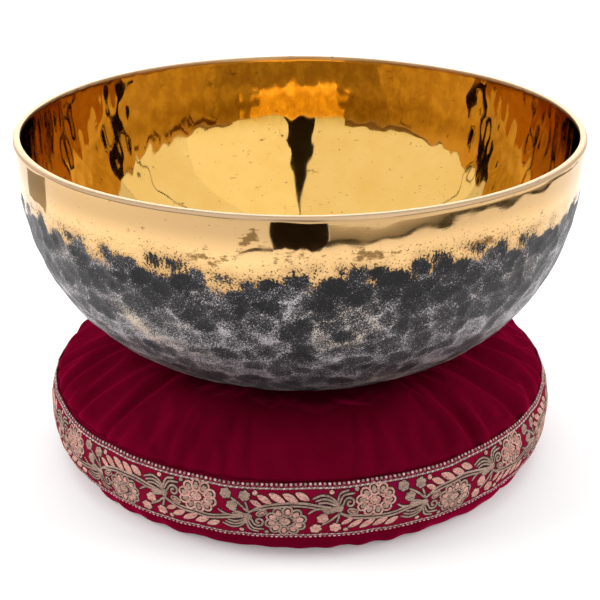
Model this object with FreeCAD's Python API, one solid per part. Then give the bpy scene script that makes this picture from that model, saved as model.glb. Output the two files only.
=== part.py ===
"""A large hand-hammered singing bowl of bell bronze, resting in the dent that it has pressed into a round,
velvet-covered, kapok-filled cushion with a woven ribbon sewn around its side.

Units are millimetres. The origin is the centre of the cushion's underside, +Z is up, and both the bowl and
the cushion are bodies of revolution about Z. The front of the set faces -Y, and the ribbon's overlap and the
hand-closed filling slit are at the back, +Y.

The bowl's outer and inner walls are superellipses, so that the wall stands upright at the lip and turns
under into a broad, gently domed base. The cushion is a boxed cushion: a gathered top cover, a side band and
a flat base cover, each with its seam allowance turned to the inside and held by a seam thread.
"""

import FreeCAD, Part  # noqa: E401, I001
import math
import os

V = FreeCAD.Vector
AXIS = V(0, 0, 1)
ORIGIN = V(0, 0, 0)

# Bowl
BOWL_RADIUS = 175.0  # outside, at the lip
BOWL_HEIGHT = 152.0
LIP_WIDTH = 4.3
LIP_BEVEL_WIDTH = 1.9  # the lip's outer corner is filed to a bevel
LIP_BEVEL_DROP = 1.8
BASE_THICKNESS = 3.2
WALL_EXPONENT = 2.55  # 2 would be an ellipse; more is fuller at the haunch
BOWL_BASE_Z = 60.0  # the bowl's lowest point, above the floor
RIM_Z = BOWL_BASE_Z + BOWL_HEIGHT
WALL_POINTS = 17

# Cushion, as sewn. Each of its outlines is a run of (radius, z) points.
CLOTH = 1.4  # velvet with its pile
SEAT_GAP = 0.5  # between the bowl and the cover that it rests on
SEAT_RADIUS = 74.0  # the cover follows the bowl's underside this far out
SEAT_POINTS = 5
CROWN = ((101.0, 71.0), (126.0, 68.0), (146.5, 59.5))  # from the highest ring round the dent to the brow
TOP_SEAM_RADIUS, TOP_SEAM_Z = 158.8, 49.0
BELLY = (163.1, 33.0)  # the side's widest ring
TUCK_OUT, TUCK_UP = 6.4, 8.5  # from the base seam to where the side turns under
BASE_SEAM_RADIUS, BASE_SEAM_Z = 152.2, 0.5
TOP_EDGE_ENDS = ((1.0, 0.0), (0.45, -0.9))  # the directions that the top leaves the axis and meets its seam in
SIDE_EDGE_ENDS = ((0.55, -0.85), (-0.8, -0.6))

# Seams
ALLOWANCE = 8.0  # how far a seam's allowance turns in
SEAM_SLIT = 0.2  # between the two allowances of a seam
SEAM_ROUND = 0.4  # an allowance starts this far inside the cover's outer face
SEAM_THREAD_IN = 1.8  # from the top seam's outer face to its thread
BASE_THREAD_UP = 2.5  # from the base seam's edge to its thread
FILL_GAP = 0.4  # between the filling and the cloth

# Ribbon
RIBBON_LOW_Z, RIBBON_HIGH_Z = 14.6, 48.0
RIBBON_THICKNESS = 0.9
RIBBON_POINTS = 7
RIBBON_GAP = 0.3  # the pile holds the ribbon off the band
RIBBON_LAP_DEG = 5.0  # the ribbon's end laps over its start
LAP_PRESS = 0.05  # the lapped end is pressed this far into the layer below

# Threads and stitches
THREAD_RADIUS = 0.3
RIBBON_SEW_IN = 1.6  # from the ribbon's edge to its sewing line
END_STITCHES = 7
END_STITCH_SHARE = 0.6  # how much of the pitch a stitch spans
END_STITCH_PLACE = 0.85  # how far along the lap the column of stitches stands
CLOSING_STITCHES = 11
CLOSING_ARC_DEG = 34.0
CLOSING_START = 0.93  # a closing stitch starts this far down the side's outline

BACK_DEG = 90.0  # the azimuth of the back, measured from +X
OFFSET_POINTS = 13  # enough for an offset to follow its outline
SCAN_STEPS = 200  # for finding a point at a given height
ON_AXIS = 0.001  # a point nearer than this to the axis counts as on it
DOWN, INWARD = (0.0, -1.0), (-1.0, 0.0)


def superellipse_drop(radius, full_radius, height):
    """How far above the bottom a superellipse wall stands at this radius."""
    share = 1 - (radius / full_radius) ** WALL_EXPONENT
    return height - height * share ** (1 / WALL_EXPONENT)


def bowl_underside(radius):
    return BOWL_BASE_Z + superellipse_drop(radius, BOWL_RADIUS, BOWL_HEIGHT)


def spline(points, directions=None):
    """A smooth edge through (radius, z) points, in the XZ plane, with its two end directions if given."""
    curve = Part.BSplineCurve()
    given = [V(r, 0, z) for r, z in points]
    if directions is None:
        curve.interpolate(given)
    else:
        start, end = (V(r, 0, z) for r, z in directions)
        curve.interpolate(Points=given, InitialTangent=start, FinalTangent=end)
    return curve.toShape()


def spread(edge, steps):
    """Evenly spread parameters along an edge, both ends included."""
    first, last = edge.ParameterRange
    return [first + (last - first) * i / steps for i in range(steps + 1)]


def offset_points(edge, distance):
    """(radius, z) points that lie this far to the left of the edge's direction of travel."""
    found = []
    for at in spread(edge, OFFSET_POINTS - 1):
        here = edge.valueAt(at)
        along = edge.tangentAt(at)
        found.append((here.x - along.z * distance, here.z + along.x * distance))
    return found


def at_height(edge, z):
    """The (radius, z) point of an edge that is nearest to this height."""
    nearest = min((edge.valueAt(at) for at in spread(edge, SCAN_STEPS)), key=lambda point: abs(point.z - z))
    return nearest.x, nearest.z


def line(a, b):
    return Part.makeLine(V(a[0], 0, a[1]), V(b[0], 0, b[1]))


def ends(edge):
    first, last = edge.ParameterRange
    a, b = edge.valueAt(first), edge.valueAt(last)
    return (a.x, a.z), (b.x, b.z)


def turned(edges, degrees=360.0):
    """The solid made by turning a closed outline about Z."""
    face = Part.Face(Part.Wire(Part.__sortEdges__(edges)))
    return face.revolve(ORIGIN, AXIS, degrees)


def from_axis(points):
    """The same points with the first one brought onto the axis."""
    return [(0.0, points[0][1]), *points[1:]]


def shell_of(edge, distance, degrees=360.0):
    """The solid between an edge and its offset, turned about Z."""
    start, end = ends(edge)
    moved = offset_points(edge, distance)
    if start[0] < ON_AXIS:
        moved = from_axis(moved)
    return turned([edge, line(end, moved[-1]), spline(moved), line(moved[0], start)], degrees)


def washer(inner_radius, outer_radius, low_z, high_z):
    outer = Part.makeCylinder(outer_radius, high_z - low_z, V(0, 0, low_z))
    return outer.cut(Part.makeCylinder(inner_radius, high_z - low_z, V(0, 0, low_z)))


def ring_thread(radius, z):
    return Part.makeTorus(radius, THREAD_RADIUS, V(0, 0, z), AXIS)


def stitch(start, end, azimuth):
    """One straight stitch from one (radius, z) point to another, with rounded ends."""
    a, b = V(start[0], 0, start[1]), V(end[0], 0, end[1])
    body = Part.makeCylinder(THREAD_RADIUS, (b - a).Length, a, b - a)
    solid = body.fuse([Part.makeSphere(THREAD_RADIUS, a), Part.makeSphere(THREAD_RADIUS, b)])
    solid = solid.removeSplitter()
    solid.rotate(ORIGIN, AXIS, azimuth)
    return solid


def wall_points(full_radius, height, top_drop):
    """(radius, z) points down a superellipse wall, from top_drop under the rim to the axis, closer at the haunch."""
    found = []
    first = math.asin(min(1.0, (top_drop / height) ** (WALL_EXPONENT / 2)))
    for i in range(WALL_POINTS):
        angle = first + (math.pi / 2 - first) * i / (WALL_POINTS - 1)
        radius = full_radius * max(0.0, math.cos(angle)) ** (2 / WALL_EXPONENT)
        drop = height * math.sin(angle) ** (2 / WALL_EXPONENT)
        found.append((radius, RIM_Z - drop))
    found[-1] = (0.0, RIM_Z - height)
    return found


def bowl():
    outer = spline(wall_points(BOWL_RADIUS, BOWL_HEIGHT, LIP_BEVEL_DROP), (DOWN, INWARD))
    inner = spline(wall_points(BOWL_RADIUS - LIP_WIDTH, BOWL_HEIGHT - BASE_THICKNESS, 0.0), (DOWN, INWARD))
    outer_top, outer_bottom = ends(outer)
    inner_top, inner_bottom = ends(inner)
    bevel_top = (BOWL_RADIUS - LIP_BEVEL_WIDTH, RIM_Z)
    return turned(
        [outer, line(outer_bottom, inner_bottom), inner, line(inner_top, bevel_top), line(bevel_top, outer_top)]
    )


def top_edge():
    """The cushion's upper face, from the axis out to the top seam."""
    seat = []
    for i in range(SEAT_POINTS):
        radius = SEAT_RADIUS * i / (SEAT_POINTS - 1)
        seat.append((radius, bowl_underside(radius) - SEAT_GAP))
    return spline([*seat, *CROWN, (TOP_SEAM_RADIUS, TOP_SEAM_Z)], TOP_EDGE_ENDS)


def side_edge():
    """The side band's outer face, from the top seam down to the base seam."""
    top_z = TOP_SEAM_Z - CLOTH - SEAM_SLIT
    tuck = (BASE_SEAM_RADIUS + TUCK_OUT, BASE_SEAM_Z + TUCK_UP)
    return spline([(TOP_SEAM_RADIUS, top_z), BELLY, tuck, (BASE_SEAM_RADIUS, BASE_SEAM_Z)], SIDE_EDGE_ENDS)


def top_flange():
    return washer(TOP_SEAM_RADIUS - ALLOWANCE, TOP_SEAM_RADIUS - SEAM_ROUND, TOP_SEAM_Z - CLOTH, TOP_SEAM_Z)


def side_top_flange():
    top = TOP_SEAM_Z - CLOTH - SEAM_SLIT
    return washer(TOP_SEAM_RADIUS - ALLOWANCE, TOP_SEAM_RADIUS - SEAM_ROUND, top - CLOTH, top)


def side_base_flange():
    return washer(BASE_SEAM_RADIUS - CLOTH, BASE_SEAM_RADIUS, BASE_SEAM_Z, BASE_SEAM_Z + ALLOWANCE)


def base_flange():
    outer = BASE_SEAM_RADIUS - CLOTH - SEAM_SLIT
    return washer(outer - CLOTH, outer, 0.0, ALLOWANCE)


def top_cover():
    return shell_of(top_edge(), -CLOTH).fuse(top_flange()).removeSplitter()


def side_band():
    return shell_of(side_edge(), -CLOTH).fuse([side_top_flange(), side_base_flange()]).removeSplitter()


def base_cover():
    disc = Part.makeCylinder(BASE_SEAM_RADIUS - CLOTH - SEAM_SLIT, CLOTH)
    return disc.fuse(base_flange()).removeSplitter()


def grown(inner_radius, outer_radius, low_z, high_z):
    """A washer with the filling's gap all round it."""
    return washer(inner_radius - FILL_GAP, outer_radius + FILL_GAP, low_z - FILL_GAP, high_z + FILL_GAP)


def filling():
    """Everything inside the covers, less the seam allowances."""
    top = spline(from_axis(offset_points(top_edge(), -CLOTH - FILL_GAP)))
    side = spline(offset_points(side_edge(), -CLOTH - FILL_GAP)[1:-1])
    floor_z = CLOTH + FILL_GAP
    top_start, top_end = ends(top)
    side_start, side_end = ends(side)
    floor_point = (side_end[0], floor_z)
    outline = [
        top,
        line(top_end, side_start),
        side,
        line(side_end, floor_point),
        line(floor_point, (0.0, floor_z)),
        line((0.0, floor_z), top_start),
    ]
    seam_in = TOP_SEAM_RADIUS - ALLOWANCE
    flange_low = TOP_SEAM_Z - 2 * CLOTH - SEAM_SLIT
    base_in = BASE_SEAM_RADIUS - 2 * CLOTH - SEAM_SLIT
    outside = BELLY[0] + CLOTH
    body = turned(outline).cut(grown(seam_in, outside, flange_low, TOP_SEAM_Z))
    return body.cut(grown(base_in, outside, 0.0, ALLOWANCE + BASE_SEAM_Z))


def ribbon_edge():
    """The ribbon's inner face, top to bottom, just clear of the side band."""
    band = side_edge()
    points = []
    for i in range(RIBBON_POINTS):
        z = RIBBON_HIGH_Z + (RIBBON_LOW_Z - RIBBON_HIGH_Z) * i / (RIBBON_POINTS - 1)
        points.append((at_height(band, z)[0] + RIBBON_GAP, z))
    return spline(points)


def brocade_ribbon():
    edge = ribbon_edge()
    ring = shell_of(edge, RIBBON_THICKNESS)
    lap_edge = spline(offset_points(edge, RIBBON_THICKNESS - LAP_PRESS))
    lap = shell_of(lap_edge, RIBBON_THICKNESS, degrees=RIBBON_LAP_DEG)
    lap.rotate(ORIGIN, AXIS, BACK_DEG)
    return ring.fuse(lap).removeSplitter()


def ribbon_face(z, proud):
    """A (radius, z) point on the ribbon's outer face at this height, moved out by proud."""
    return at_height(spline(offset_points(ribbon_edge(), RIBBON_THICKNESS + proud)), z)


def ribbon_thread(z):
    return ring_thread(*ribbon_face(z, 0.0))


def top_seam_thread():
    return ring_thread(TOP_SEAM_RADIUS - SEAM_THREAD_IN, TOP_SEAM_Z - CLOTH - SEAM_SLIT / 2)


def base_seam_thread():
    return ring_thread(BASE_SEAM_RADIUS - CLOTH - SEAM_SLIT / 2, BASE_SEAM_Z + BASE_THREAD_UP)


def ribbon_end_stitches():
    """A column of short stitches that holds the ribbon's lapped end."""
    azimuth = BACK_DEG + RIBBON_LAP_DEG * END_STITCH_PLACE
    margin = 2 * RIBBON_SEW_IN
    pitch = (RIBBON_HIGH_Z - RIBBON_LOW_Z - 2 * margin) / END_STITCHES
    found = []
    for i in range(END_STITCHES):
        low = RIBBON_LOW_Z + margin + pitch * (i + (1 - END_STITCH_SHARE) / 2)
        start = ribbon_face(low, RIBBON_THICKNESS)
        end = ribbon_face(low + pitch * END_STITCH_SHARE, RIBBON_THICKNESS)
        found.append(stitch(start, end, azimuth))
    return Part.makeCompound(found)


def closing_stitches():
    """Hand stitches across the base seam at the back, where the filling went in."""
    side = side_edge()
    first, last = side.ParameterRange
    above = side.valueAt(first + (last - first) * CLOSING_START)
    below = (BASE_SEAM_RADIUS - SEAM_SLIT, BASE_SEAM_Z + THREAD_RADIUS)
    found = []
    for i in range(CLOSING_STITCHES):
        azimuth = BACK_DEG - CLOSING_ARC_DEG / 2 + CLOSING_ARC_DEG * i / (CLOSING_STITCHES - 1)
        found.append(stitch((above.x, above.z), below, azimuth))
    return Part.makeCompound(found)


NODES = {
    "bowl": bowl,
    "top_cover": top_cover,
    "side_band": side_band,
    "base_cover": base_cover,
    "filling": filling,
    "brocade_ribbon": brocade_ribbon,
    "ribbon_upper_thread": lambda: ribbon_thread(RIBBON_HIGH_Z - RIBBON_SEW_IN),
    "ribbon_lower_thread": lambda: ribbon_thread(RIBBON_LOW_Z + RIBBON_SEW_IN),
    "top_seam_thread": top_seam_thread,
    "base_seam_thread": base_seam_thread,
    "ribbon_end_stitches": ribbon_end_stitches,
    "closing_stitches": closing_stitches,
}


def main():
    os.makedirs("parts", exist_ok=True)
    for name, make in NODES.items():
        shape = make()
        print(f"{name}: {len(shape.Solids)} solids, valid {shape.isValid()}, {shape.Volume / 1000:.2f} cm3")
        shape.exportStep(f"parts/{name}.step")


main()
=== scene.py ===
"""The looks of a large hand-hammered singing bowl that rests on a gathered velvet cushion.

Lengths are in millimetres while a shape is worked out, and in metres in the meshes. An azimuth is an angle
round the vertical axis: 0 is the front, -Y, and 90 degrees is the right, +X. It is listed in degrees and
worked out in radians.
"""

import math

import bpy
import numpy as np
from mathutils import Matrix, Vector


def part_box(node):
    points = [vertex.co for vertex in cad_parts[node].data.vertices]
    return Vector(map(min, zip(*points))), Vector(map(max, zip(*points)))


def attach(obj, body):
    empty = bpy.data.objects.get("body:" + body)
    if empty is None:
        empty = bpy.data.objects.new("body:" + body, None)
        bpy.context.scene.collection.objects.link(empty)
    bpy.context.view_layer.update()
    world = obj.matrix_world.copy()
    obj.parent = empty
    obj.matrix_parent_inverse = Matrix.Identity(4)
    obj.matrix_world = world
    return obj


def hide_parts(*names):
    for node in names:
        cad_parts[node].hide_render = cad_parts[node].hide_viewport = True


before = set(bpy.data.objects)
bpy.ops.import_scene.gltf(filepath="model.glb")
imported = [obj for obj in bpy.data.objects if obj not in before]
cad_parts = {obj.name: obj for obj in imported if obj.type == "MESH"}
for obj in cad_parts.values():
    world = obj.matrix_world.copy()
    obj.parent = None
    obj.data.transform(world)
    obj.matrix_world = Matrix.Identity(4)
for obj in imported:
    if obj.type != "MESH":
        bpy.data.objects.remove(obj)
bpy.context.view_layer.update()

MM = 0.001
TURN = 2 * math.pi


def box_mm(node):
    low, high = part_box(node)
    return np.array(low) / MM, np.array(high) / MM


# Bowl
BOWL_LOW, BOWL_HIGH = box_mm("bowl")
RIM_Z = BOWL_HIGH[2]
BOWL_RADIUS = BOWL_HIGH[0]
BOWL_HEIGHT = RIM_Z - BOWL_LOW[2]
WALL_EXPONENT, INNER_EXPONENT = 2.55, 2.46  # both walls are superellipses
LIP_WIDTH = 4.3
BEVEL_DROP = 1.8
LIP = (  # its outline: how far in from the bowl's radius, and how far down
    (0.15, 1.2),
    (0.7, 0.55),
    (1.4, 0.15),
    (1.85, 0.02),
    (2.05, 0.0),
    (3.9, 0.0),
    (4.2, 0.12),
    (LIP_WIDTH, 0.4),
)
BASE_THICKNESS = 3.2
BOWL_COLUMNS = 540
OUTER_ROWS, OUTER_HIDDEN_ROWS = 92, 8  # the hidden rows are under the bowl, on the cushion
INNER_ROWS = 76
BAND_DROP = 32.0  # the bright band under the lip, measured down the wall
FRONT_DIP, DIP_WIDTH = math.radians(-11), math.radians(8)  # where the band reaches lower
STAINS = (  # each one's azimuth, distance down, width and height
    (-2.4, 20, 9, 5),
    (-15, 25, 12, 5),
    (-8, 12, 6, 6),
    (12, 22, 16, 3),
    (34, 24, 12, 3),
)
SCUFF_AZIMUTH, SCUFF_DOWN = math.radians(-33), 78.0  # a worn place on the front left
OUTER_MARK_PITCH, OUTER_MARK_DEPTH = 13.0, 0.68
INNER_MARK_PITCH, INNER_MARK_DEPTH = 11.5, 0.13
INNER_MARK_STRETCH, OUTER_MARK_STRETCH = 2.0, 0.82  # a mark's height for its width
FLUTED_SIDES = (-118, 122)  # where the inside's marks are deepest
FLUTES_WIDTH, FLUTE_DEPTH = 0.42, 3.4  # in radians, and how many times as deep the marks are there

# Cushion
CLOTH = 1.4
SEAT_RADIUS = 74.0
SEAT_GAP = 0.5
CROWN = ((101.0, 71.0), (126.0, 68.0), (146.5, 59.5))
TOP_SEAM = (158.8, 49.0)
BELLY = (163.1, 33.0)
BASE_SEAM = (152.2, 0.5)
TOP_COLUMNS, TOP_ROWS, SIDE_ROWS = 640, 74, 34
FILL_DEPTH = 5.0  # from the covers' outer face in to the filling
FILL_COLUMNS = 240
CLOTH_STEPS, CLOTH_PRESSURE = 20, 4.0
CLOTH_SPARE, CLOTH_CAP = 0.03, 3.0  # the share it is cut large by, and how far it may settle
STRONG_GATHERS = (-82, -71, -60, -47, 41, 57, 66, 79)

# Ribbon
RIBBON_LOW, RIBBON_HIGH = 14.6, 48.0
RIBBON_WIDTH = RIBBON_HIGH - RIBBON_LOW
RIBBON_THICKNESS = 0.9
THREAD_RADIUS = 0.28
RIBBON_RADIUS = 163.0  # where lengths round the ribbon are measured
REPEATS = 10
HALF_REPEAT = math.pi * RIBBON_RADIUS / REPEATS
LAP = math.radians(5)
BACK = math.pi
FIRST_LOW_FLOWER = math.radians(-2.8)
PETALS = 10
LEAVES = (  # each one's middle, length and width
    (-16.8, 22.6, 7.2, 2.7),
    (-12.0, 25.0, 9.2, 3.3),
    (-4.9, 25.9, 10.2, 3.6),
    (2.6, 26.1, 9.4, 3.6),
    (9.4, 26.6, 8.6, 3.5),
)
OUTLINE_SHADOW_WIDTH = 0.8  # the dark edge round each raised shape: an outline thread with a painted shadow
END_MARGIN = 0.3  # no shape comes nearer than this to the ribbon's ends
ROPE_PITCH, PICOT_PITCH = 1.7, 2.75
LEAN = 1.2  # the ribbon is this much higher on the cushion's right side, and lower on its left
# Each pair is a thread colour's darker tone and a lit copy that is a painted highlight; the figures mix them
# by noise along the weave.
PINK_DULL, PINK_LIT = (0.36, 0.125, 0.10, 1), (0.86, 0.49, 0.41, 1)
GREY_DULL, GREY_LIT = (0.18, 0.105, 0.080, 1), (0.55, 0.38, 0.30, 1)
PALE_DULL, PALE_LIT = (0.42, 0.22, 0.23, 1), (0.90, 0.68, 0.68, 1)


# ---- small tools


def smooth_step(value, low, high):
    share = np.clip((value - low) / (high - low), 0, 1)
    return share * share * (3 - 2 * share)


def on_circle(radius, azimuth):
    """x and y of a point at this azimuth, in radians."""
    return radius * np.sin(azimuth), -radius * np.cos(azimuth)


def nearest(angle):
    """The same angle in radians, from minus half a turn to half a turn."""
    return (angle + math.pi) % TURN - math.pi


def distances(points):
    """How far along a line of points each one is."""
    return np.concatenate([[0], np.cumsum(np.linalg.norm(np.diff(points, axis=0), axis=1))])


def smooth_curve(points, start, end, count):
    """Points along a cubic spline through the given ones, with these directions at its two ends."""
    points = np.array(points, float)
    at = distances(points)
    steps = np.diff(at)
    size = len(points)
    matrix, right = np.zeros((size, size)), np.zeros((size, 2))
    matrix[0, 0] = matrix[-1, -1] = 1
    right[0] = np.array(start) / np.linalg.norm(start)
    right[-1] = np.array(end) / np.linalg.norm(end)
    for i in range(1, size - 1):
        before, after = steps[i - 1], steps[i]
        matrix[i, i - 1 : i + 2] = after, 2 * (before + after), before
        rise = (points[i] - points[i - 1]) / before * after + (points[i + 1] - points[i]) / after * before
        right[i] = 3 * rise
    slopes = np.linalg.solve(matrix, right)
    where = np.linspace(0, at[-1], count)
    which = np.clip(np.searchsorted(at, where, side="right") - 1, 0, size - 2)
    span = steps[which][:, None]
    t = ((where - at[which]) / steps[which])[:, None]
    share = 3 * t**2 - 2 * t**3
    bends = slopes[which] * (t**3 - 2 * t**2 + t) + slopes[which + 1] * (t**3 - t**2)
    return points[which] * (1 - share) + points[which + 1] * share + bends * span


def even_points(points, count):
    """The same line with points evenly spaced along it."""
    run = distances(points)
    at = np.linspace(0, run[-1], count)
    return np.stack([np.interp(at, run, points[:, k]) for k in range(points.shape[1])], axis=1)


def outward(profile):
    """Unit normals of a (radius, z) line, to the left of its direction."""
    along = np.gradient(profile, axis=0)
    along /= np.linalg.norm(along, axis=1)[:, None]
    return np.stack([-along[:, 1], along[:, 0]], axis=1)


def moved_out(profile, way, push):
    """The radius and z of each (radius, z) point, moved this far along its normal."""
    return profile[:, 0, None] + way[:, 0, None] * push, profile[:, 1, None] + way[:, 1, None] * push


def turned(radius, z, azimuth):
    """Points of a shape turned about the axis, in a grid of rows and columns."""
    x, y = on_circle(np.maximum(radius, 0.05), azimuth)
    return np.stack([x, y, z + 0 * x], axis=-1)


def waves(azimuth, down, rng, count, finest, along=0.06):
    """A smooth random field of about unit size, periodic round the axis."""
    total = np.zeros(np.broadcast(azimuth, down).shape)
    for _ in range(count):
        turns = rng.integers(1, finest + 1)
        total += np.cos(turns * azimuth + rng.uniform(-along, along) * down + rng.uniform(0, TURN))
    return total / math.sqrt(count / 2)


def grid_faces(rows, columns, closed=True, flip=False):
    """Quads over a grid of vertices, row after row. A closed grid joins its last column to its first."""
    i = np.arange(rows - 1)[:, None]
    j = np.arange(columns if closed else columns - 1)[None, :]
    k = (j + 1) % columns
    here, below = i * columns, (i + 1) * columns
    quads = np.stack([here + j, here + k, below + k, below + j], axis=-1).reshape(-1, 4)
    return quads[:, ::-1] if flip else quads


def fan_faces(centre, ring_start, columns, flip=False):
    """Triangles from a ring of vertices to its centre."""
    j = np.arange(columns)
    faces = np.stack([np.full(columns, centre), ring_start + j, ring_start + (j + 1) % columns], axis=1)
    return faces[:, ::-1] if flip else faces


def turned_faces(rows, columns, flip=False):
    """Faces of a turned shape's grid, closed by a fan at each end round the two poles that follow it."""
    count = rows * columns
    fans = fan_faces(count, 0, columns, not flip), fan_faces(count + 1, count - columns, columns, flip)
    return [grid_faces(rows, columns, flip=flip), *fans]


def make_piece(name, points, faces, material, attributes=None):
    """An object from points in millimetres and lists of faces, with a number per point for each attribute."""
    mesh = bpy.data.meshes.new(name)
    corners = [face for some in faces for face in some.tolist()]
    mesh.from_pydata((np.asarray(points) * MM).tolist(), [], corners)
    mesh.shade_smooth()
    for key, values in (attributes or {}).items():
        layer = mesh.attributes.new(key, "FLOAT", "POINT")
        layer.data.foreach_set("value", np.asarray(values, np.float32).ravel())
    mesh.validate()
    mesh.materials.append(material)
    piece = bpy.data.objects.new(name, mesh)
    bpy.context.scene.collection.objects.link(piece)
    return piece


def settle(piece, body, slot, *nodes):
    """Says which body carries a piece and hides the CAD nodes it stands for; the slot is not used."""
    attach(piece, body)
    if nodes:
        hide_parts(*nodes)
    return piece


# ---- materials


class Shading:
    """A material's node tree, with short ways to add what the materials here need."""

    def __init__(self, name):
        self.material = bpy.data.materials.new(name)
        self.material.use_nodes = True
        self.tree = self.material.node_tree
        self.tree.nodes.clear()
        self.shader = self.tree.nodes.new("ShaderNodeBsdfPrincipled")
        output = self.tree.nodes.new("ShaderNodeOutputMaterial")
        self.tree.links.new(self.shader.outputs[0], output.inputs[0])
        self.place = self.put("TexCoord", output="Object")

    def feed(self, socket, value):
        if isinstance(value, bpy.types.NodeSocket):
            self.tree.links.new(value, socket)
        else:
            socket.default_value = value

    def put(self, kind, inputs=None, output=0, **settings):
        made = self.tree.nodes.new("ShaderNode" + kind)
        for key, value in settings.items():
            setattr(made, key, value)
        for key, value in (inputs or {}).items():
            self.feed(made.inputs[key], value)
        return made.outputs[output]

    def maths(self, operation, a, b=0.0):
        return self.put("Math", {0: a, 1: b}, operation=operation)

    def ramp(self, value, low, high, start=0.0, end=1.0):
        ends = {"From Min": low, "From Max": high, "To Min": start, "To Max": end}
        return self.put("MapRange", {"Value": value, **ends}, clamp=True)

    def total(self, *terms):
        """The sum of (value, weight) pairs."""
        value, weight = terms[0]
        result = self.maths("MULTIPLY", value, weight)
        for value, weight in terms[1:]:
            result = self.maths("ADD", result, self.maths("MULTIPLY", value, weight))
        return result

    def between(self, share, a, b):
        return self.put("Mix", {0: share, 2: a, 3: b}, data_type="FLOAT")

    def mix(self, share, a, b):
        return self.put("Mix", {0: share, 6: a, 7: b}, output=2, data_type="RGBA")

    def stretched(self, x, y, z):
        return self.put("Mapping", {"Vector": self.place, "Scale": (x, y, z)})

    def noise(self, grain, detail=3.0, roughness=0.55, at=None):
        """Noise of this grain in millimetres, about 0 to 1."""
        scale = 1 / (grain * MM)
        inputs = {"Vector": at or self.place, "Scale": scale, "Detail": detail, "Roughness": roughness}
        return self.put("TexNoise", inputs)

    def attribute(self, name):
        return self.put("Attribute", output="Fac", attribute_name=name)

    def bump(self, height, distance, under=None):
        """A bump of this many millimetres."""
        inputs = {"Height": height, "Distance": distance * MM, "Strength": 1.0}
        if under is not None:
            inputs["Normal"] = under
        return self.put("Bump", inputs)

    def set(self, **inputs):
        for key, value in inputs.items():
            self.feed(self.shader.inputs[key.replace("_", " ")], value)


GOLD = (0.76, 0.475, 0.14, 1)
DEEP_GOLD = (0.72, 0.43, 0.11, 1)
# Painted reflection: ambers for the inside's upper wall, which stand in for the bowl's gold mirrored in its
# own inside.
REFLECTED_AMBER = (0.56, 0.325, 0.048, 1)
DARK_REFLECTED_AMBER = (0.44, 0.235, 0.03, 1)
# The band's gold, and a lighter gold low on the band that is a painted reflection of the bright floor near
# the bowl.
BAND_GOLD = (0.53, 0.335, 0.15, 1)
BAND_REFLECTION_GOLD = (0.84, 0.53, 0.235, 1)
PALE_LIP = (0.60, 0.42, 0.26, 1)
PITTED = (0.05, 0.03, 0.015, 1)
STAIN_BROWN = (0.15, 0.075, 0.02, 1)
DARK_PATINA = (0.016, 0.0155, 0.017, 1)
MID_PATINA = (0.068, 0.062, 0.067, 1)
LIGHT_WEAR = (0.48, 0.455, 0.47, 1)
WARM_WEAR = (0.62, 0.52, 0.40, 1)
BARE_SPECK = (0.80, 0.76, 0.76, 1)
PURPLE_PATINA = (0.040, 0.024, 0.031, 1)


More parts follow.
